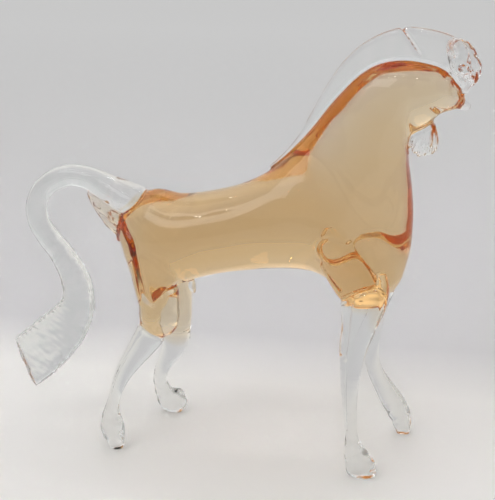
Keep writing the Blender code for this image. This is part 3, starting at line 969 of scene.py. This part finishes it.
def make_pieces():
    """The body, and all the clear glass as one object, still in millimetres."""
    amber_shapes = amber_forms()
    clear_shapes = clear_forms()
    whole = skin("whole", amber_shapes + clear_shapes)
    gather = skin("gather", amber_shapes)
    for obj in (whole, gather):
        hot_worked(obj)
    detailed(whole, gather)
    whole.data.materials.append(amber)
    inner = offset_copy("inner", gather, SEAM_INSIDE)
    outer = offset_copy("outer", gather, SEAM_OUTSIDE)
    pieces = {"body": boolean("body", whole, inner, "INTERSECT")}
    rest = boolean("rest", whole, outer, "DIFFERENCE")
    discard(whole, gather, inner, outer, *amber_shapes, *clear_shapes)
    return pieces, rest


def named_pieces(pieces, rest):
    """Tells the loose clear pieces apart by the CAD node whose box each fills, and divides the crest."""
    ears = {"ear_right": EAR_RIGHT, "ear_left": EAR_LEFT}
    nodes = [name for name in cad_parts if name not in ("body", "forelock", *ears)]
    for piece in loose_pieces(rest):
        points = read_points(piece.data)
        centre = (points.min(axis=0) + points.max(axis=0)) / 2
        gap = {name: np.linalg.norm(np.array(node_centre(name)) - centre) for name in nodes}
        pieces[min(gap, key=gap.get)] = piece
    crest = pieces.pop("mane")
    for name, rows in ears.items():
        claim = [loft("claim", limb_rings(rows, EAR_CLAIM + extra)) for extra in (0.0, EAR_GAP)]
        for form in claim:
            form.data.materials.append(cut_mark)
        pieces[name] = boolean(name, crest, claim[0], "INTERSECT")
        left = boolean("crest", crest, claim[1], "DIFFERENCE")
        discard(crest, *claim)
        crest = left
    halves = {"mane": -1.0, "forelock": 1.0}
    for name, side in halves.items():
        block = snip_block(side)
        pieces[name] = boolean(name, crest, block, "INTERSECT")
        discard(block)
    discard(crest)
    return pieces


def node_centre(name):
    """The middle of a CAD node's box in the construction frame, in millimetres."""
    low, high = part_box(name)
    return (low + high) / 2 / MM - Vector(construction_origin())


def construction_origin():
    """Where the construction frame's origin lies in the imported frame, in millimetres."""
    points = np.concatenate(section_rings(BODY_SECTIONS, BODY_SIDES) + limb_rings(DOCK))
    low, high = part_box("body")
    middle = (np.array(low) + np.array(high)) / 2 / MM - (points.min(axis=0) + points.max(axis=0)) / 2
    return (middle[0], middle[1], 0.0)


def snip_block(side):
    """A block that fills one side of the snip: -1 is the mane's, 1 the forelock's."""
    outward = Vector(MANE_SNIP_OUTWARD).normalized()
    turn = outward.to_track_quat("Z", "Y").to_matrix().to_4x4()
    centre = Vector(MANE_SNIP_POINT) + outward * side * (SNIP_BLOCK / 2 + SNIP_GAP)
    mesh = bmesh.new()
    bmesh.ops.create_cube(mesh, size=SNIP_BLOCK, matrix=Matrix.Translation(centre) @ turn)
    block = object_of("block", mesh)
    block.data.materials.append(cut_mark)
    return block


SLOTS = {
    "body": "amber_glass",
    "tail": "pressed_clear_glass",
    "beard": "pressed_clear_glass",
    "ear_right": "pressed_clear_glass",
    "ear_left": "pressed_clear_glass",
}


def mark_seam(data):
    """Writes the seam attribute on the faces that a cut left, and makes the edge around them sharp."""
    cut = np.zeros(len(data.polygons), np.int32)
    data.polygons.foreach_get("material_index", cut)
    seam = data.attributes.new(SEAM, "FLOAT", "FACE")
    seam.data.foreach_set("value", cut.astype(np.float32))
    edge_of_corner = np.zeros(len(data.loops), np.int32)
    data.loops.foreach_get("edge_index", edge_of_corner)
    sizes = np.zeros(len(data.polygons), np.int32)
    data.polygons.foreach_get("loop_total", sizes)
    cut_at_corner = np.repeat(cut, sizes)
    lowest = np.full(len(data.edges), len(data.materials))
    highest = np.full(len(data.edges), -1)
    np.minimum.at(lowest, edge_of_corner, cut_at_corner)
    np.maximum.at(highest, edge_of_corner, cut_at_corner)
    sharp = data.attributes.get("sharp_edge") or data.attributes.new("sharp_edge", "BOOLEAN", "EDGE")
    sharp.data.foreach_set("value", lowest != highest)


def placed(name, obj):
    """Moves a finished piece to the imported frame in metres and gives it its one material."""
    data = obj.data
    obj.name = name + "_glass"
    data.name = name + "_glass"
    data.transform(Matrix.Scale(MM, 4) @ Matrix.Translation(construction_origin()))
    data.shade_smooth()
    mark_seam(data)
    data.polygons.foreach_set("material_index", np.zeros(len(data.polygons), np.int32))
    data.materials.clear()
    slot = SLOTS.get(name, "clear_glass")
    data.materials.append(MATERIALS[slot])
    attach(obj, "root")
    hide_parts(name)


for name, piece in named_pieces(*make_pieces()).items():
    placed(name, piece)


# ---------------------------------------------------------------- stage, light and camera

# Painted shade on the floor: the near colour is its own pale tone, and behind the horse it is painted
# greyer, as the shade on a rising paper sweep.
FLOOR_NEAR = (0.80, 0.79, 0.765)
FLOOR_SHADED_MIDDLE = (0.6, 0.595, 0.6)
FLOOR_SHADED_FAR = (0.70, 0.70, 0.70)
FLOOR_SHADE_DEPTHS = (0.05, 1.05)       # metres behind the horse between which the floor changes
FLOOR_RADIUS = 9.0
FLOOR_SIDES = 96
FLOOR_ROUGHNESS = 0.7
FLOOR_SPECULAR = 0.2


def make_floor():
    """A plain pale floor with painted shade: greyer away from the viewer, as a paper sweep rising there
    in shade would look.
    """
    mesh = bmesh.new()
    bmesh.ops.create_circle(mesh, cap_ends=True, segments=FLOOR_SIDES, radius=FLOOR_RADIUS)
    floor = object_of("floor", mesh)
    material, nodes, links = new_material("pale_floor")
    place = nodes.new("ShaderNodeTexCoord").outputs["Object"]
    split = nodes.new("ShaderNodeSeparateXYZ")
    links.new(place, split.inputs["Vector"])
    far = range_node(nodes, links, split.outputs["Y"], FLOOR_SHADE_DEPTHS, (0.0, 1.0))
    # painted shade: the colour turns greyer from just behind the horse on
    color = ramp_node(nodes, links, far, [(0.0, FLOOR_NEAR), (0.05, FLOOR_SHADED_MIDDLE), (1.0, FLOOR_SHADED_FAR)])
    shader = nodes.new("ShaderNodeBsdfPrincipled")
    shader.inputs["Roughness"].default_value = FLOOR_ROUGHNESS
    shader.inputs["Specular IOR Level"].default_value = FLOOR_SPECULAR
    links.new(color, shader.inputs["Base Color"])
    output = nodes.new("ShaderNodeOutputMaterial")
    links.new(shader.outputs["BSDF"], output.inputs["Surface"])
    floor.data.materials.append(material)


WORLD_STRENGTH = 1.15
SEEN_GREY = (0.52, 0.52, 0.525, 1.0)
# Stops over the sine of the height, over the direction from left to right, and from front to back.
OVERHEAD = [(0.0, (0.54, 0.54, 0.54)), (0.5, (0.58, 0.58, 0.58)), (0.85, (1.1, 1.1, 1.1))]
RIGHT_WALL = [(0.6, (1.0, 1.0, 1.0)), (0.85, (0.3, 0.29, 0.28)), (1.0, (0.12, 0.12, 0.12))]
FRONT_TO_BACK = [(0.0, (0.55, 0.54, 0.53)), (0.45, (0.8, 0.8, 0.8)), (0.6, (1.0, 1.0, 1.0))]
MIX_FIRST, MIX_SECOND, MIX_RESULT = 6, 7, 2       # the colour sockets of a Mix node


def multiply_node(nodes, links, first, second):
    node = nodes.new("ShaderNodeMix")
    node.data_type = "RGBA"
    node.blend_type = "MULTIPLY"
    node.inputs["Factor"].default_value = 1.0
    links.new(first, node.inputs[MIX_FIRST])
    links.new(second, node.inputs[MIX_SECOND])
    return node.outputs[MIX_RESULT]


def make_world():
    """Soft studio surroundings: pale all round, brightest overhead, with one dim wall on the +X side
    that gives the glass its dark edges. The camera itself sees a plain pale grey behind the floor."""
    world = bpy.data.worlds.new("studio")
    world.use_nodes = True
    nodes, links = world.node_tree.nodes, world.node_tree.links
    nodes.clear()
    direction = nodes.new("ShaderNodeTexCoord").outputs["Generated"]
    split = nodes.new("ShaderNodeSeparateXYZ")
    links.new(direction, split.inputs["Vector"])
    height = ramp_node(nodes, links, split.outputs["Z"], OVERHEAD)
    wall = ramp_node(nodes, links, split.outputs["X"], RIGHT_WALL)
    depth = range_node(nodes, links, split.outputs["Y"], (-1.0, 1.0), (0.0, 1.0))
    behind = ramp_node(nodes, links, depth, FRONT_TO_BACK)
    light = multiply_node(nodes, links, multiply_node(nodes, links, height, wall), behind)
    seen = nodes.new("ShaderNodeMix")
    seen.data_type = "RGBA"
    links.new(nodes.new("ShaderNodeLightPath").outputs["Is Camera Ray"], seen.inputs["Factor"])
    links.new(light, seen.inputs[MIX_FIRST])
    seen.inputs[MIX_SECOND].default_value = SEEN_GREY
    background = nodes.new("ShaderNodeBackground")
    background.inputs["Strength"].default_value = WORLD_STRENGTH
    links.new(seen.outputs[MIX_RESULT], background.inputs["Color"])
    output = nodes.new("ShaderNodeOutputWorld")
    links.new(background.outputs["Background"], output.inputs["Surface"])
    bpy.context.scene.world = world


def aim(obj, location, target):
    """Puts a light at location and turns it towards target."""
    obj.location = location
    obj.rotation_mode = "QUATERNION"
    obj.rotation_quaternion = (Vector(target) - Vector(location)).to_track_quat("-Z", "Y")


def area_light(name, location, target, size, power):
    data = bpy.data.lights.new(name, "AREA")
    data.shape = "RECTANGLE"
    data.size, data.size_y = size
    data.energy = power
    aim(linked(name, data), location, target)


CAMERA_AIM = (0.00614, -0.00119, 0.0666)
CAMERA_DISTANCE = 0.42
CAMERA_AZIMUTH = 13.0    # degrees
CAMERA_ELEVATION = 17.0
CAMERA_LENS = 93.2
CAMERA_SHIFT = (-0.005, 0.008)
CAMERA_CLIP = (0.01, 50.0)


def make_camera():
    """The photograph's point of view: low, a little to the right of the horse's right side."""
    azimuth, elevation = math.radians(CAMERA_AZIMUTH), math.radians(CAMERA_ELEVATION)
    back = Vector((
        math.sin(azimuth) * math.cos(elevation),
        -math.cos(azimuth) * math.cos(elevation),
        math.sin(elevation),
    ))
    data = bpy.data.cameras.new("camera")
    data.lens = CAMERA_LENS
    data.shift_x, data.shift_y = CAMERA_SHIFT
    data.clip_start, data.clip_end = CAMERA_CLIP
    camera = linked("camera", data)
    camera.location = Vector(CAMERA_AIM) + back * CAMERA_DISTANCE
    camera.rotation_mode = "QUATERNION"
    camera.rotation_quaternion = (-back).to_track_quat("-Z", "Y")
    bpy.context.scene.camera = camera


LAMP_PITCH = 0.075
LAMP_RADIUS = 0.007
LAMP_CORE = 0.9          # of the radius, out to which a lamp is at its brightest
LAMP_RADIANCE = 110.0
STRIP_RADIANCE = 0.3     # between the lamps


def light_strip(name, location, target, size):
    """A strip of small lamps, which the glass shows as rows of dots; the camera itself doesn't see it."""
    mesh = bmesh.new()
    bmesh.ops.create_grid(mesh, x_segments=2, y_segments=2, size=0.5)
    bmesh.ops.scale(mesh, verts=mesh.verts, vec=(*size, 1.0))
    strip = object_of(name, mesh)
    aim(strip, location, target)
    material, nodes, links = new_material(name)
    mapping = nodes.new("ShaderNodeMapping")
    mapping.inputs["Scale"].default_value = [1 / LAMP_PITCH] * 3
    links.new(nodes.new("ShaderNodeTexCoord").outputs["Object"], mapping.inputs["Vector"])
    cells = nodes.new("ShaderNodeTexVoronoi")
    cells.voronoi_dimensions = "2D"
    cells.inputs["Scale"].default_value = 1.0
    cells.inputs["Randomness"].default_value = 0.0
    links.new(mapping.outputs["Vector"], cells.inputs["Vector"])
    edge = LAMP_RADIUS / LAMP_PITCH
    radiance = (STRIP_RADIANCE, LAMP_RADIANCE)
    lamps = range_node(nodes, links, cells.outputs["Distance"], (edge, edge * LAMP_CORE), radiance)
    glow = nodes.new("ShaderNodeEmission")
    links.new(lamps, glow.inputs["Strength"])
    output = nodes.new("ShaderNodeOutputMaterial")
    links.new(glow.outputs["Emission"], output.inputs["Surface"])
    strip.data.materials.append(material)
    strip.visible_camera = False
    strip.visible_shadow = False


LIGHT_AIM = (0.0, 0.0, 0.08)
KEY_AIM = (0.0, 0.0, 0.07)
KEY_POWER = 1.5
LIGHT_BOUNCES = 32       # light crosses the glass many times before it leaves

make_floor()
make_world()
light_strip("strip_above", location=(0.0, 0.16, 0.5), target=LIGHT_AIM, size=(0.6, 0.12))
light_strip("strip_front", location=(-0.1, -0.3, 0.55), target=LIGHT_AIM, size=(0.45, 0.09))
area_light("key", location=(-0.35, -0.45, 0.75), target=KEY_AIM, size=(0.5, 0.5), power=KEY_POWER)
make_camera()

scene = bpy.context.scene
scene.view_settings.view_transform = "Standard"
scene.cycles.max_bounces = LIGHT_BOUNCES
scene.cycles.glossy_bounces = LIGHT_BOUNCES
scene.cycles.transmission_bounces = LIGHT_BOUNCES
scene.cycles.transparent_max_bounces = LIGHT_BOUNCES
